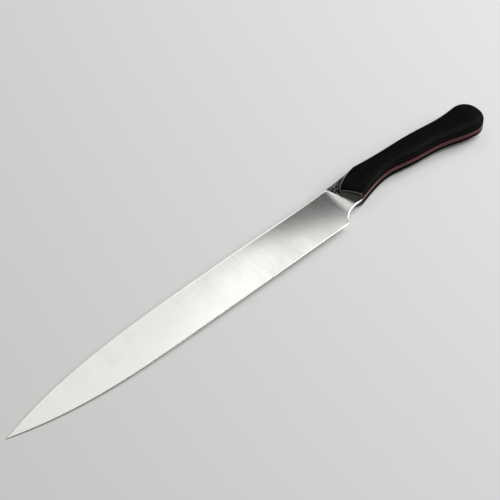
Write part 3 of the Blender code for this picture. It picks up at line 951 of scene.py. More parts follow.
@dataclass
class Blade:
    """Blade, neck and full tang in one: a section of corners and faces carried from the point to the butt."""

    outline: Outline
    rest: Rest
    steel: float = 0.0020
    steel_at_point: float = 0.0011
    cutting_edge: float = 0.00016
    bevel_height: float = 0.0115
    highest_shoulder_share: float = 0.96
    lowest_shoulder_share: float = 0.04
    hollow_depth: float = 0.0003
    edge_border: float = 0.0005
    back_border: float = 0.0012
    border_share: float = 0.1
    sink_at_edge: float = 0.00040
    sink_at_back: float = 0.00012
    rise_at_edge: float = 0.0120
    rise_at_back: float = 0.0048
    hollow_end: float = 0.0172
    hollow_lean: float = 0.0080
    run_out_at_edge: float = 0.0130
    run_out_at_back: float = 0.0045
    bevel_run_out: float = 0.012
    foot: float = 0.0169
    foot_fade: float = 0.002
    heel_fade: float = 0.003
    neck_fade: float = 0.001
    tang_fade: float = 0.002
    back_ease: float = 0.00016
    choil_ease: float = 0.00050
    ease_share: float = 0.12
    ease_depth_share: float = 0.4
    least_ease: float = 0.000001
    whet_width: float = 0.00040
    whet_depth: float = 0.00010
    whet_depth_share: float = 0.62
    burr_width: float = 0.0001
    burr_depth_share: float = 0.30
    back_wear: float = 0.3
    spine_wear: float = 0.2
    # how far the tang's colour is darkened, as painted shade
    tang_painted_shade: float = 1.0
    stations: int = 280
    point_crowding: float = 1.5
    choil_stations: int = 40
    tang_stations: int = 50
    butt_stations: int = 24
    corner_points: int = 6
    spine_points: int = 5
    flat_points: int = 9
    bevel_points: int = 14
    hollow_points: int = 42
    border_points: int = 4
    back_border_shares: tuple[float, ...] = (0.0, 0.5, 0.95, 1.0)

    @property
    def face(self) -> float:
        """Height of the left face above the middle of the steel."""
        return self.steel / 2

    def places(self) -> np.ndarray:
        """Places of the sections, closer near the point, round the choil and round the butt.

        Returns:
            X of each section.
        """
        reach = self.outline.edge_length - self.outline.point_blunt
        blade = -reach * (1 - (1 - np.linspace(0, 1, self.stations)) ** self.point_crowding)[::-1]
        turn = np.linspace(0, math.pi / 2, self.choil_stations + 1)[1:]
        choil = self.outline.choil_length * (1 - np.cos(turn))
        tang = np.linspace(self.outline.neck, self.outline.butt - self.outline.butt_round, self.tang_stations)
        return np.concatenate([blade, choil, tang, self.outline.butt_places(self.butt_stations)])

    def thickness(self, x: np.ndarray, height: np.ndarray) -> np.ndarray:
        """Thickness of the steel, which tapers to the point and thins where the bevel takes the whole height."""
        taper = self.steel + (self.steel_at_point - self.steel) * np.clip(-x, 0, None) / self.outline.edge_length
        return np.where(x < 0, taper * np.minimum(1.0, height / self.bevel_height), self.steel)

    def shoulder(self, x: np.ndarray, low: np.ndarray, height: np.ndarray) -> np.ndarray:
        """Y of the line where the bevel meets the right face's flat.

        Args:
            x: places of the sections.
            low: Y of the edge.
            height: the blade's height.

        Returns:
            The line, kept between the lowest and the highest share of the height.
        """
        most = self.highest_shoulder_share * height
        on_blade = low + np.minimum(self.bevel_height, most)
        line = np.where(x < 0, on_blade, np.minimum(self.bevel_height, low + most))
        return np.maximum(line, low + self.lowest_shoulder_share * height)

    def edge_thickness(self, x: np.ndarray, low: np.ndarray, thin: np.ndarray) -> np.ndarray:
        """Thickness along the lower outline: that of the cutting edge, growing along the choil to the whole.

        Args:
            x: places of the sections.
            low: Y of the lower outline.
            thin: thickness of the steel.

        Returns:
            The thickness in each section.
        """
        run_out = smoothstep((x - self.foot + self.bevel_run_out) / self.bevel_run_out)
        above_edge = np.where(x > 0, np.clip(low, 0, None) / self.bevel_height, 0.0)
        share = np.maximum(np.maximum(np.clip(above_edge, 0, 1), run_out), self.cutting_edge / self.steel)
        return np.maximum(thin * share, np.minimum(self.cutting_edge, thin))

    def sections(self, x: np.ndarray) -> tuple[np.ndarray, np.ndarray]:
        """Sections across the steel, round from the edge up the left face and down the right.

        Args:
            x: places of the sections.

        Returns:
            Y and Z as sections by points by 2, and how worn each point is. The left face dips as a shallow
            parabola inside a flat border, the right face falls straight from its shoulder to the edge.
        """
        low, high = self.outline.belly(x), self.outline.back(x)
        height = high - low
        thin = self.thickness(x, height)
        shoulder = self.shoulder(x, low, height)
        corner = self.edge_thickness(x, low, thin)

        # reach of the rounded corners: the back's, the left one at the edge and the right one
        bare = 1 - smoothstep((x - self.foot + self.foot_fade) / self.foot_fade)
        on_blade = 1 - smoothstep(x / self.heel_fade + 1)
        behind = 1 - on_blade
        open_edge = 1 - smoothstep((x - self.outline.neck) / self.neck_fade)
        ease = np.minimum(self.back_ease, self.ease_share * height) * bare + self.least_ease
        ease_z = np.minimum(ease, self.ease_depth_share * thin)
        rub = np.minimum(self.choil_ease, self.ease_depth_share * corner)
        low_y = (self.whet_width * on_blade + self.choil_ease * behind) * open_edge + self.least_ease
        low_y = np.minimum(low_y, self.ease_share * height)
        low_z = np.minimum(self.whet_depth * on_blade + rub * behind, self.whet_depth_share * corner)
        low_z = low_z * open_edge + self.least_ease
        right_y = np.minimum(self.burr_width * on_blade + self.choil_ease * behind, low_y) * open_edge
        right_y = right_y + self.least_ease
        right_z = np.minimum(rub, self.burr_depth_share * corner) * open_edge + self.least_ease

        left = self.face - self.sunk_face(x, np.zeros_like(x), height)
        left_back = self.face - self.sunk_face(x, np.ones_like(x), height)
        right = self.face - thin
        edge = left - np.minimum(corner, left - right)
        quarter = np.linspace(0, math.pi / 2, self.corner_points)
        along_spine = np.linspace(0, 1, self.spine_points)[1:-1]
        face_y, dip = self.left_face(x, low + low_y, high - ease, low, high, height)
        parts = (
            (arc(math.pi - quarter, (low + low_y, left - low_z), (low_y, low_z)), 1.0),
            (np.stack([face_y, self.face - dip], -1), 0.0),
            (arc(math.pi / 2 - quarter, (high - ease, left_back - ease_z), (ease, ease_z)), self.back_wear),
            (between((high, left_back - ease_z), (high, right + ease_z), along_spine), self.spine_wear),
            (arc(-quarter, (high - ease, right + ease_z), (ease, ease_z)), 1.0),
            (between((high - ease, right), (shoulder, right), self.spread(self.flat_points)[1:]), 0.0),
            (between((shoulder, right), (low + right_y, edge), self.spread(self.bevel_points)[1:]), 0.0),
            (arc(-math.pi / 2 - quarter[1:], (low + right_y, edge + right_z), (right_y, right_z)), 1.0),
        )
        worn = [np.full(part.shape[1], wear) for part, wear in parts]
        return np.concatenate([part for part, _ in parts], 1), np.concatenate(worn)

    @staticmethod
    def spread(count: int) -> np.ndarray:
        """Shares from 0 to 1, closer at both ends."""
        return (1 - np.cos(np.linspace(0, math.pi, count))) / 2

    def left_face(
        self, x: np.ndarray, start: np.ndarray, end: np.ndarray, low: np.ndarray, high: np.ndarray, height: np.ndarray
    ) -> tuple[np.ndarray, np.ndarray]:
        """The hollow face: a flat border, the parabola's dip, and a flat border again.

        Args:
            x: places of the sections.
            start: Y where the face leaves the edge's corner.
            end: Y where it meets the back's corner.
            low: Y of the edge.
            high: Y of the back.
            height: the blade's height.

        Returns:
            Y of each point and how far it dips, as sections by points.
        """
        most = self.border_share * height
        lowest = low + np.minimum(self.edge_border, most)
        first = np.maximum(lowest, start)
        last = np.minimum(high - np.minimum(self.back_border, most), end)
        y = np.concatenate([
            start[:, None] + (first - start)[:, None] * np.linspace(0, 1, self.border_points),
            first[:, None] + (last - first)[:, None] * self.spread(self.hollow_points)[1:-1],
            last[:, None] + (end - last)[:, None] * np.array(self.back_border_shares),
        ], 1)[:, 1:-1]
        bottom = np.where(x > 0, self.edge_border, lowest)[:, None]
        across = np.clip((y - bottom) / (last[:, None] - bottom), 0, 1)
        run_out = self.run_out_at_edge + (self.run_out_at_back - self.run_out_at_edge) * across
        fade = 1 - np.clip((x[:, None] - self.hollow_edge(across)) / run_out + 1, 0, 1) ** 2
        dip = self.hollow_depth * fade * self.whole(x, height)[:, None] ** 2 * (1 - (2 * across - 1) ** 2)
        return y, dip + self.sunk_face(x[:, None], across, height[:, None])

    def hollow_edge(self, across: np.ndarray) -> np.ndarray:
        """Where the hollow has run out: a line that leans forward towards the back."""
        return self.hollow_end - self.hollow_lean * across

    def whole(self, x: np.ndarray, height: np.ndarray) -> np.ndarray:
        """The blade's height as a share of its height at the heel, and 1 behind the heel."""
        return np.where(x > 0, 1.0, np.minimum(1.0, height / self.outline.heel_height))

    def sunk_face(self, x: np.ndarray, across: np.ndarray, height: np.ndarray) -> np.ndarray:
        """How far the left face lies under the neck's: it rises as a parabola just before the foot.

        Args:
            x: places on the face.
            across: how far each lies from the edge to the back.
            height: the blade's height there.

        Returns:
            The distance under the neck's face.
        """
        rise = self.rise_at_edge + (self.rise_at_back - self.rise_at_edge) * across
        risen = np.clip((x - self.hollow_edge(across)) / rise + 1, 0, 1) ** 2
        sink = self.sink_at_edge + (self.sink_at_back - self.sink_at_edge) * across
        return sink * (1 - risen) * self.whole(x, height) ** 2

    def build(self, finish: bpy.types.Material) -> bpy.types.Object:
        """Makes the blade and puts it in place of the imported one.

        Args:
            finish: its material.

        Returns:
            The blade.
        """
        x = self.places()
        yz, worn = self.sections(x)
        rings = np.concatenate([np.broadcast_to(x[:, None, None], (*yz.shape[:2], 1)), yz], -1)
        shape = tube(self.rest.lay(rings))
        buried = smoothstep((x - self.outline.neck) / self.tang_fade + 0.5)[:, None]
        shape.masks["worn"] = worn * (1 - buried)
        # painted shade: the tang's edges, seen between the liners, are darkened to near black
        shape.masks["sunk"] = np.broadcast_to(self.tang_painted_shade * buried, rings.shape[:2])
        made = shape.piece("satin_blade", Slot.BLADE, finish)
        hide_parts("blade")
        return made


@dataclass
class Rim:
    """The lines that bolster and scale share: the foot on the blade and the V-shaped rim between the two."""

    outline: Outline
    foot_behind_heel: float = 0.0169
    foot_lean_at_back: float = 0.0080
    at_belly: float = 0.0231
    at_apex: float = 0.0148
    at_back: float = 0.0365
    apex_share: float = 0.57
    curve_to_belly: float = 0.55
    curve_to_back: float = 2.0
    crease_share: float = 0.03
    cove_at_apex: float = 0.0046
    facet_at_apex: float = 0.0029
    facet_at_back: float = 0.0062

    def from_apex(self, share: np.ndarray) -> tuple[np.ndarray, np.ndarray]:
        """How far shares lie from the apex.

        Args:
            share: shares from belly to back.

        Returns:
            0 to 1 from the apex to the belly, and 0 to 1 from the apex to the back.
        """
        to_belly = np.clip((self.apex_share - share) / self.apex_share, 0, 1)
        to_back = np.clip((share - self.apex_share) / (1 - self.apex_share), 0, 1)
        return to_belly, to_back

    def foot(self, share: np.ndarray) -> np.ndarray:
        """Where the bolster starts: a line that leans forward towards the back."""
        return self.foot_behind_heel - self.foot_lean_at_back * share

    def line(self, share: np.ndarray) -> np.ndarray:
        """Where the bolster meets the scale.

        Args:
            share: shares from belly to back.

        Returns:
            X of two legs that run back from the apex as powers of the way.
        """
        to_belly, to_back = self.from_apex(share)
        belly_leg = (self.at_belly - self.at_apex) * to_belly**self.curve_to_belly
        return self.at_apex + belly_leg + (self.at_back - self.at_apex) * to_back**self.curve_to_back

    def on_facet(self, share: np.ndarray) -> np.ndarray:
        """0 on the cove and 1 on the facet, changing over the narrow crease beside the apex."""
        return smoothstep((share - self.apex_share) / self.crease_share)

    def height(self, share: np.ndarray) -> np.ndarray:
        """Height of the rim above the middle of the tang.

        Args:
            share: shares from belly to back.

        Returns:
            The height, which falls from the belly to the apex and climbs straight along the facet.
        """
        to_belly, to_back = self.from_apex(share)
        x = self.line(share)
        cove = self.cove_at_apex + (self.outline.half_thickness(x) - self.cove_at_apex) * smoothstep(to_belly)
        facet = self.facet_at_apex + (self.facet_at_back - self.facet_at_apex) * to_back
        return np.minimum(self.outline.side(x, share), cove + (facet - cove) * self.on_facet(share))


@dataclass
class Half:
    """What the pieces on one side of the tang have in common."""

    outline: Outline
    rest: Rest
    rim: Rim
    side: Side

    def sculpt(
        self, x: np.ndarray, y: np.ndarray, z: np.ndarray, base: float, **masks: tuple[np.ndarray, float]
    ) -> Shape:
        """Makes a slab between a flat base and a sculpted top, on this side of the tang and in its place.

        Args:
            x: X of the top's points, as rows by columns.
            y: Y of the top's points.
            z: their height above the middle of the tang.
            base: height of the base.
            masks: for each mask, its values on the top and its value on the rest.

        Returns:
            The shape with its masks.
        """
        sign = self.side.value
        shape = slab(np.stack([x, y, sign * z], -1), sign * base)
        shape.points = self.rest.lay(shape.points)
        for name, (on_top, on_rest) in masks.items():
            others = np.full(len(shape.points) - x.size, on_rest)
            shape.masks[name] = np.concatenate([np.broadcast_to(on_top, x.shape).ravel(), others])
        return shape


@dataclass
class Bolster(Half):
    """One sculpted bolster half: a cove under a rounded rim, a crease, and a facet swept up to the back."""

    base: float = 0.00101
    feather: float = 0.00004
    land: float = 0.0016
    bead: float = 0.0011
    bead_share: float = 0.4
    cove_lean: float = 0.45
    lip: float = 0.0003
    facet_lip: float = 0.0002
    facet_lip_drop: float = 0.8
    sweep_power: float = 2.4
    groove_depth: float = 0.0005
    groove_share: float = 0.013
    groove_lean: float = 0.03
    groove_fade: float = 0.12
    shadow: float = 0.95
    shadow_width: float = 0.0008
    shadow_place: float = 0.3
    shadow_at_apex: float = 0.4
    facet_painted_shade: float = 0.78
    sweep_highlight: float = 0.45
    sweep_highlight_place: float = 0.6
    sweep_highlight_width: float = 0.22
    crease_highlight: float = 0.7
    crease_highlight_place: float = 0.07
    crease_highlight_width: float = 0.045
    bead_painted_shade: float = 0.6
    bead_wear: float = 0.25
    wall_painted_shade: float = 1.0
    pit_radius: float = 0.00105
    pit_depth: float = 0.00035
    pit_shade_end: float = 1.25
    pit_shade_fade: float = 0.5
    pits: tuple[tuple[float, float], ...] = ()
    belly_round: float = 0.0007
    round_depth_share: float = 0.8
    belly_inset: float = 0.00045
    inset_share: float = 0.1
    least_height: float = 0.00001
    facet_spacing: float = 0.85
    cove_rows: int = 80
    bead_rows: int = 31
    lip_rows: int = 18
    across: int = 170
    crowding_width: float = 0.03
    end_crowding: float = 3.0
    crease_crowding: float = 5.0
    facet_crowding: float = 1.2

    def shares(self) -> np.ndarray:
        """Shares from belly to back, closer at both ends, at the crease and over the facet.

        Returns:
            The share of each profile.
        """
        even = np.linspace(0, 1, FINE_STEPS)
        ends = bell(even / self.crowding_width), bell((1 - even) / self.crowding_width)
        weight = 1 + self.end_crowding * ends[0] + self.end_crowding * ends[1]
        crease = self.rim.apex_share + self.rim.crease_share / 4
        by_crease = bell((even - crease) / self.crowding_width)
        weight += self.crease_crowding * by_crease + self.facet_crowding * (even > crease)
        return crowded(even, weight, self.across)

    def top(self, shares: np.ndarray) -> tuple[np.ndarray, np.ndarray]:
        """The sculpted top as a profile for each share, from the foot to the rim.

        Args:
            shares: where the profiles stand between belly and back.

        Returns:
            X and Z as profiles along by shares. The cove is a line and a square added together, and ends
            under a bead, a quarter ellipse. The facet is a power curve, and the crease blends the two.
        """
        foot, rim = self.rim.foot(shares), self.rim.line(shares)
        start = self.base + self.feather
        peak = self.rim.height(shares)
        on_facet = self.rim.on_facet(shares)
        bead = np.minimum(self.bead, self.bead_share * (peak - start))
        lip = self.lip + (self.facet_lip - self.lip) * on_facet
        wall = rim - self.land
        across = np.linspace(0, 1, self.cove_rows)[:, None]
        cove_x = foot + (wall - foot) * across
        cove_z = start + (peak - bead - start) * (self.cove_lean * across + (1 - self.cove_lean) * across**2)
        turn = np.linspace(0, math.pi / 2, self.bead_rows + 1)[1:, None]
        bead_x = wall + (self.land - self.lip) * (1 - np.cos(turn))
        bead_z = peak - bead + bead * np.sin(turn)
        turn = np.linspace(0, math.pi / 2, self.lip_rows + 1)[1:, None]
        lip_x, lip_z = rim - self.lip + self.lip * np.sin(turn), peak - lip * (1 - np.cos(turn))
        x = np.concatenate([cove_x, bead_x, lip_x])
        z_cove = np.concatenate([cove_z, bead_z, lip_z])
        even = foot + (rim - foot) * np.linspace(0, 1, len(x))[:, None] ** self.facet_spacing
        x = x + (even - x) * on_facet
        run = np.clip((x - foot) / (rim - foot), 0, 1)
        z_facet = start + (peak - start) * run**self.sweep_power
        edge = np.clip((x - rim + self.facet_lip) / self.facet_lip, 0, 1)
        z_facet -= self.facet_lip_drop * self.facet_lip * (1 - np.sqrt(1 - edge**2))
        return x, z_cove + (z_facet - z_cove) * on_facet

    def worked(self, x: np.ndarray, y: np.ndarray, z: np.ndarray, shares: np.ndarray) -> tuple[np.ndarray, np.ndarray]:
        """Cuts the groove along the crease and the round pits, and paints shade into the groove, the pits, a strip
        under the bead, the facet, the bead and the rounding along the belly side.

        Args:
            x: X of the top's points.
            y: Y of the top's points.
            z: Z of the top's points.
            shares: share of each column.

        Returns:
            The lowered Z, and how much painted shade each point takes.
        """
        foot, rim = self.rim.foot(shares), self.rim.line(shares)
        on_facet = self.rim.on_facet(shares)
        run = np.clip((x - foot) / (rim - foot), 0, 1)
        from_crease = shares - self.rim.apex_share
        # the groove is cut into the crease, and below it is also darkened as painted shade
        groove = bell((from_crease - self.groove_lean * run) / self.groove_share) * smoothstep(run / self.groove_fade)
        lowered = z - self.groove_depth * groove
        # painted shadow: a strip under the bead, weaker towards the apex
        to_wall = (rim - self.land - x) / self.shadow_width
        under_bead = smoothstep(1 - 2 * np.abs(to_wall - self.shadow_place)) * (1 - on_facet)
        to_belly = self.rim.from_apex(shares)[0]
        under_bead = under_bead * (self.shadow_at_apex + (1 - self.shadow_at_apex) * to_belly)
        # painted highlight: two lighter bands on the facet, along the sweep and beside the crease, where its painted
        # shade is lifted
        brightened = np.maximum(
            self.sweep_highlight * bell((run - self.sweep_highlight_place) / self.sweep_highlight_width),
            self.crease_highlight * bell((from_crease - self.crease_highlight_place) / self.crease_highlight_width),
        )
        # painted shade: the whole facet darkened, less in the lighter bands
        painted_facet_shade = self.facet_painted_shade * on_facet * (1 - brightened)
        # painted shade on the bead, dimming its highlight
        on_bead = self.bead_painted_shade * smoothstep(1 - to_wall) * (1 - on_facet)
        # painted shade: the groove, the shadow under the bead, the facet and the bead, whichever is strongest
        sunk = np.maximum.reduce([groove, self.shadow * under_bead, painted_facet_shade, on_bead])
        for pit_x, pit_y in self.pits:
            away = np.hypot(x - pit_x, y - pit_y) / self.pit_radius
            lowered = lowered - self.pit_depth * np.sqrt(np.clip(1 - away**2, 0, 1))
            # painted shade: each pit darkened to near black, out to a little past its edge
            sunk = np.maximum(sunk, smoothstep((self.pit_shade_end - away) / self.pit_shade_fade))
        lowered = np.maximum(lowered, self.base + self.least_height)
        # painted shade on the rounding along the belly side
        over = self.on_round(x, y)
        drop = np.minimum(self.belly_round, self.round_depth_share * (lowered - self.base))
        return lowered - drop * (1 - np.sqrt(1 - over**2)), np.maximum(sunk, self.wall_painted_shade * smoothstep(over))

    def on_round(self, x: np.ndarray, y: np.ndarray) -> np.ndarray:
        """0 inside the rounding along the belly side and 1 at its outer line."""
        return np.clip(1 - (y - self.outline.belly(x)) / self.belly_round, 0, 1)

    def build(self, finish: bpy.types.Material) -> bpy.types.Object:
        """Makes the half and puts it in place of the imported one.

        Args:
            finish: its material.

        Returns:
            The bolster half.
        """
        shares = self.shares()
        rim = self.rim.line(shares)
        x, z = self.top(shares)
        y = self.outline.height_at(x, shares)
        z, sunk = self.worked(x, y, z, shares)
        inset = self.belly_inset * np.clip(1 - shares / self.inset_share, 0, 1)
        y = y + inset * smoothstep((rim - x) / self.land)
        worn = self.bead_wear * smoothstep((x - rim + self.land) / self.land)
        # painted shade on the slab's upright sides and base, as on the rounding
        shape = self.sculpt(x, y, z, self.base, worn=(worn, 0.0), sunk=(sunk, self.wall_painted_shade))
        name = self.side.name.lower()
        made = shape.piece(f"sculpted_bolster_{name}", Slot.BOLSTER, finish, sharp=50.0)
        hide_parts(f"{name}_bolster")
        return made


@dataclass
class Grip(Half):
    """One side of the grip: a fibre liner on the tang and a crowned scale on the liner."""

    tang_face: float = 0.00101
    liner: float = 0.00057
    seam: float = 0.00001
    rim_gap: float = 0.00004
    bullnose: float = 0.0065
    nose_ease: float = 0.0003
    ease_drop: float = 0.5
    ease_steps: tuple[float, ...] = (0.0, 0.15, 0.4, 0.8)
    rubbed_off: float = 0.00003
    shear_reach: float = 0.060
    wear_start: float = 0.9
    wear_width: float = 0.08
    wear_fade: float = 0.003
    sanded_start: float = 0.99
    sanded_fade: float = 0.01
    spacing_power: float = 1.25
    along: int = 210
    butt_rows: int = 34
    across: int = 130
    apex_crowding: float = 4.0
    crowding_turn: float = 0.10
    liner_across: int = 24

    def shares(self) -> np.ndarray:
        """Shares from belly to back: even turns of a half circle, closer where it passes the apex.

        Returns:
            The share of each column.
        """
        even = np.linspace(0, math.pi, FINE_STEPS)
        apex = math.acos(1 - 2 * self.rim.apex_share)
        weight = 1 + self.apex_crowding * bell((even - apex) / self.crowding_turn)
        return (1 - np.cos(crowded(even, weight, self.across))) / 2

    def places(self, shares: np.ndarray) -> np.ndarray:
        """Rows of places from the rim to the butt: the first follows the rim, the later ones straighten.

        Args:
            shares: shares from belly to back.

        Returns:
            X as rows by shares: a straight row plus the rim's shape, which fades as a square.
        """
        straight = self.outline.butt - self.outline.butt_round
        start = self.rim.at_apex
        spread = np.linspace(0, 1, self.along) ** self.spacing_power
        near = np.array(self.ease_steps) * self.nose_ease
        rows = np.concatenate([start + near, start + (straight - start) * spread[1:],
                               self.outline.butt_places(self.butt_rows)])[:, None]
        fade = np.clip(1 - (rows - start) / self.shear_reach, 0, None) ** 2
        return rows + (self.rim.line(shares) + self.rim_gap - start) * fade

    def height(self, x: np.ndarray, shares: np.ndarray) -> np.ndarray:
        """The handle's side, brought down to the rim by a quarter-round nose and eased at its front edge.

        Args:
            x: places, as rows by shares.
            shares: shares from belly to back.

        Returns:
            The height above the middle of the tang.
        """
        rim = self.rim.line(shares)
        lowered = self.outline.side(rim, shares) - self.rim.height(shares)
        run = np.clip((x - rim) / self.bullnose, 0, 1)
        nose = lowered * (1 - np.sqrt(1 - (1 - run) ** 2))
        start = np.clip((x - rim - self.rim_gap) / self.nose_ease, 0, 1)
        lip = self.ease_drop * self.nose_ease * (1 - np.sqrt(1 - (1 - start) ** 2))
        return self.outline.side(x, shares) - nose - lip - self.rubbed_off

    def build_scale(self, finish: bpy.types.Material) -> bpy.types.Object:
        """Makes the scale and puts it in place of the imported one.

        Args:
            finish: its material.

        Returns:
            The scale.
        """
        shares = self.shares()
        x = self.places(shares)
        y, z = self.outline.height_at(x, shares), self.height(x, shares)
        off = np.abs(2 * shares - 1)
        worn = smoothstep((off - self.wear_start) / self.wear_width) * smoothstep((1 - off) / self.wear_fade)
        # the walls along belly and back, rougher and darkened as painted shade; the slab's sides and base take the same
        sanded = smoothstep((off - self.sanded_start) / self.sanded_fade)
        base = self.tang_face + self.liner + self.seam
        shape = self.sculpt(x, y, z, base, worn=(worn, 0.0), sanded=(sanded, 1.0))
        name = self.side.name.lower()
        made = shape.piece(f"rubbed_scale_{name}", Slot.LAMINATE, finish, sharp=50.0)
        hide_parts(f"{name}_scale")
        return made

    def build_liner(self, finish: bpy.types.Material) -> bpy.types.Object:
        """Makes the liner, a sheet of the scale's outline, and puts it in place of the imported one.

        Args:
            finish: its material.

        Returns:
            The liner.
        """
        shares = np.linspace(0, 1, self.liner_across)
        x = self.places(shares)
        y, z = self.outline.height_at(x, shares), np.full_like(x, self.tang_face + self.liner)
        shape = self.sculpt(x, y, z, self.tang_face + self.seam)
        name = self.side.name.lower()
        made = shape.piece(f"fibre_liner_{name}", Slot.FIBRE, finish)
        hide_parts(f"{name}_liner")
        return made


@dataclass
class Dowels:
    """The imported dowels, which stay as they are and get the finish of ground pin stock."""

    nodes: tuple[str, ...] = (
        "scale_dowel_front",
        "scale_dowel_middle",
        "scale_dowel_rear",
        "bolster_dowel_lower",
        "bolster_dowel_upper",
    )

    def dress(self, finish: bpy.types.Material) -> list[bpy.types.Object]:
        """Gives every dowel its finish.

        Args:
            finish: the dowels' material.

        Returns:
            The dowels.
        """
        dressed = [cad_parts[name] for name in self.nodes]
        for dowel in dressed:
            dowel.data.materials.clear()
            dowel.data.materials.append(finish)
        return dressed


@dataclass
class Knife:
    """The whole knife: its outline, its rest on the floor, its finishes and its pieces."""

    outline: Outline = field(default_factory=Outline)
    front_dowel_share: float = 0.20
    rear_dowel_share: float = 0.82
    pits: tuple[tuple[float, float], ...] = (
        (0.0157, 0.0316), (0.0131, 0.0319), (0.0112, 0.0307), (0.0148, 0.0277),
        (0.0135, 0.0265), (0.0136, 0.0291), (0.0113, 0.0281),
    )
    blade_steel: SteelFinish = SteelFinish(
        "satin_blade_steel", colour=(0.70, 0.70, 0.68), shade=(0.60, 0.60, 0.585), roughness=0.14
    )
    bolster_steel: SteelFinish = SteelFinish(
        "bolster_steel", colour=(0.34, 0.34, 0.32), shade=(0.25, 0.25, 0.235), roughness=0.30,
        fineness=0.7, turn=0.5, line_depth=0.12,
    )
    dowel_steel: SteelFinish = SteelFinish(
        "dowel_steel", colour=(0.55, 0.55, 0.55), shade=(0.42, 0.42, 0.42), roughness=0.35
    )
    fibre: FibreFinish = FibreFinish("red_fibre", colour=(0.27, 0.022, 0.042), fleck=(0.40, 0.07, 0.10), roughness=0.55)
    laminate: LaminateFinish = LaminateFinish(
        "black_laminate", colour=(0.0013, 0.0013, 0.0012), line_colour=(0.0050, 0.0048, 0.0044), roughness=0.42
    )

    def dowel_place(self, share: float) -> tuple[float, float]:
        """Place of a dowel on the middle line of the tang."""
        x = self.outline.neck + share * self.outline.handle_length
        return x, float(self.outline.height_at(np.array(x), 0.5))

    def build(self, shop: Workshop) -> list[bpy.types.Object]:
        """Builds and dresses every piece.

        Args:
            shop: the shared effects.

        Returns:
            The pieces, in order from the blade to the butt.
        """
        rest = Rest.from_dowels(self.dowel_place(self.front_dowel_share), self.dowel_place(self.rear_dowel_share))
        LOG.info("tip %.4f degrees, place %s", math.degrees(rest.tip), np.round(rest.place, 6))
        bolster_steel = self.bolster_steel.make(shop)
        fibre = self.fibre.make(shop)
        laminate = self.laminate.make(shop)
        pieces = [Blade(self.outline, rest).build(self.blade_steel.make(shop))]
        rim = Rim(self.outline)
        for side in Side:
            pits = self.pits if side is Side.LEFT else ()
            pieces.append(Bolster(self.outline, rest, rim, side, pits=pits).build(bolster_steel))
            grip = Grip(self.outline, rest, rim, side)
            pieces.append(grip.build_liner(fibre))
            pieces.append(grip.build_scale(laminate))
        pieces += Dowels().dress(self.dowel_steel.make(shop))
        return pieces


# ---------------------------------------------------------------- studio


@dataclass
class Lamp:
    """A soft rectangular lamp aimed at a point."""

    name: str
    place: Place
    aim: Place
    width: float
    length: float
    power: float
    roll: float = 0.0
    colour: Colour = (1.0, 1.0, 1.0)

    def hang(self) -> bpy.types.Object:
        """Makes the lamp.

        Returns:
            The lamp, which the camera doesn't see.
        """
        light = bpy.data.lights.new(self.name, "AREA")
        light.shape = "RECTANGLE"
        light.size, light.size_y = self.width, self.length
        light.energy = self.power
        light.color = self.colour
        made = bpy.data.objects.new(self.name, light)
        made.location = self.place
        towards = Vector(self.aim) - Vector(self.place)
        made.rotation_euler = towards.to_track_quat("-Z", "Y").to_euler()
        made.rotation_euler.rotate_axis("Z", self.roll)
        made.visible_camera = False
        bpy.context.scene.collection.objects.link(made)
        return made


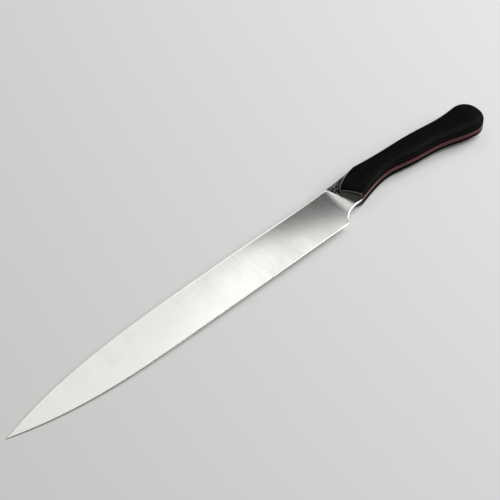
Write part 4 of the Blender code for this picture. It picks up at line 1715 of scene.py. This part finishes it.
@dataclass
class Studio:
    """Pale floor, plain world, soft lamps, and the camera at the picture's angle."""

    floor_size: float = 20.0
    floor_colour: Colour = (0.80, 0.80, 0.79)
    floor_roughness: float = 0.9
    floor_specular: float = 0.2
    world_colour: Colour = (0.10, 0.10, 0.099)
    azimuth: float = -41.34
    elevation: float = 50.0
    place: Place = (-0.5486, -0.6158, 1.0023)
    lens: float = 129.17
    sensor: float = 36.0
    lamps: tuple[Lamp, ...] = (
        Lamp("key_softbox", (0.522, 0.805, 1.00), (0.522, 0.805, 0.0), 0.498, 0.436, 0.97, roll=0.576),
        Lamp("key_far_end", (0.174, 0.588, 1.00), (0.174, 0.588, 0.0), 0.322, 0.436, 0.475, roll=0.576),
        Lamp("right_fill", (1.4, -0.5, 1.5), (0.0, 0.0, 0.0), 2.0, 2.0, 54.0),
    )

    def build(self) -> None:
        """Makes the floor, the world, the lamps and the camera, and sets the view."""
        self.lay_floor()
        self.fill_world()
        for lamp in self.lamps:
            lamp.hang()
        self.set_camera()
        bpy.context.scene.view_settings.view_transform = "Standard"

    def lay_floor(self) -> None:
        """Lays one flat matt sheet under the knife."""
        half = self.floor_size / 2
        mesh = bpy.data.meshes.new("pale_floor")
        corners = [(-half, -half, 0), (half, -half, 0), (half, half, 0), (-half, half, 0)]
        mesh.from_pydata(corners, [], [(0, 1, 2, 3)])
        made, _, shader, _ = blank_material("pale_floor")
        shader.inputs["Base Color"].default_value = (*self.floor_colour, 1.0)
        shader.inputs["Roughness"].default_value = self.floor_roughness
        shader.inputs["Specular IOR Level"].default_value = self.floor_specular
        mesh.materials.append(made)
        floor = bpy.data.objects.new("pale_floor", mesh)
        bpy.context.scene.collection.objects.link(floor)

    def fill_world(self) -> None:
        """A plain grey world that light falls from."""
        world = bpy.data.worlds.new("plain_world")
        world.use_nodes = True
        background = world.node_tree.nodes["Background"]
        background.inputs["Color"].default_value = (*self.world_colour, 1.0)
        background.inputs["Strength"].default_value = 1.0
        bpy.context.scene.world = world

    def set_camera(self) -> None:
        """Sets the camera at the picture's place, angle and field of view."""
        a, e = math.radians(self.azimuth), math.radians(self.elevation)
        back = Vector((math.sin(a) * math.cos(e), -math.cos(a) * math.cos(e), math.sin(e)))
        data = bpy.data.cameras.new("picture_camera")
        data.lens, data.sensor_width = self.lens, self.sensor
        data.sensor_fit = "HORIZONTAL"
        camera = bpy.data.objects.new("picture_camera", data)
        camera.location = self.place
        camera.rotation_mode = "QUATERNION"
        camera.rotation_quaternion = (-back).to_track_quat("-Z", "Y")
        bpy.context.scene.collection.objects.link(camera)
        bpy.context.scene.camera = camera


def main() -> None:
    """Builds the knife, then the studio, and reports every piece."""
    logging.basicConfig(level=logging.INFO, format="%(message)s")
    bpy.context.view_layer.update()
    for made in Knife().build(Workshop()):
        LOG.info("%s: %d faces", made.name, len(made.data.polygons))
    Studio().build()


if __name__ == "__main__":
    main()
